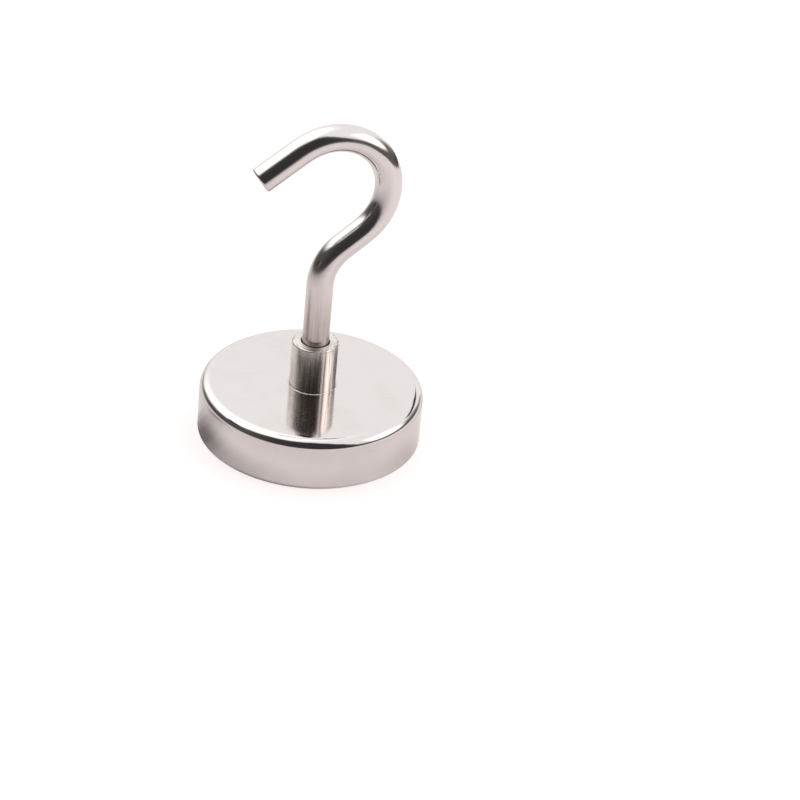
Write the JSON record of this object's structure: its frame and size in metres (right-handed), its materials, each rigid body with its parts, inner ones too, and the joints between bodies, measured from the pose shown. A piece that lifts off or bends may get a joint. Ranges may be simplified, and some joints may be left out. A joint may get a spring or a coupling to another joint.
{
  "type": "magnetic hook",
  "caption": "Round pot magnet with a threaded neck on its back and a bent-rod hook that turns in the neck.",
  "frame": {"origin": "middle of the magnet's face, the flat face that clings to steel", "axes": "+Z out of the magnet's face towards the hook, along the thread's axis; the rod is bent in the XZ plane, with the hook's tip towards -X"},
  "size_m": [0.075, 0.075, 0.1136],
  "materials": {
    "pot_plating": "bright nickel plate",
    "neck_plating": "bright nickel plate",
    "rod_plating": "bright nickel plate",
    "magnet_plating": "satin nickel plate",
    "potting_resin": "cured resin",
    "adhesive": "cured film"
  },
  "bodies": {
    "pot_and_neck": {"steel_pot": "pot_plating", "disc_magnet": "magnet_plating", "potting_ring": "potting_resin", "adhesive_film": "adhesive", "threaded_neck": "neck_plating"},
    "hook": {"hook_rod": "rod_plating"}
  },
  "joints": [
    {"name": "hook_turn", "type": "hinge", "parent": "pot_and_neck", "child": "hook", "pos_m": [0, 0, 0.0344], "axis": [0, 0, 1], "range_deg": [-180, 180]}
  ]
}
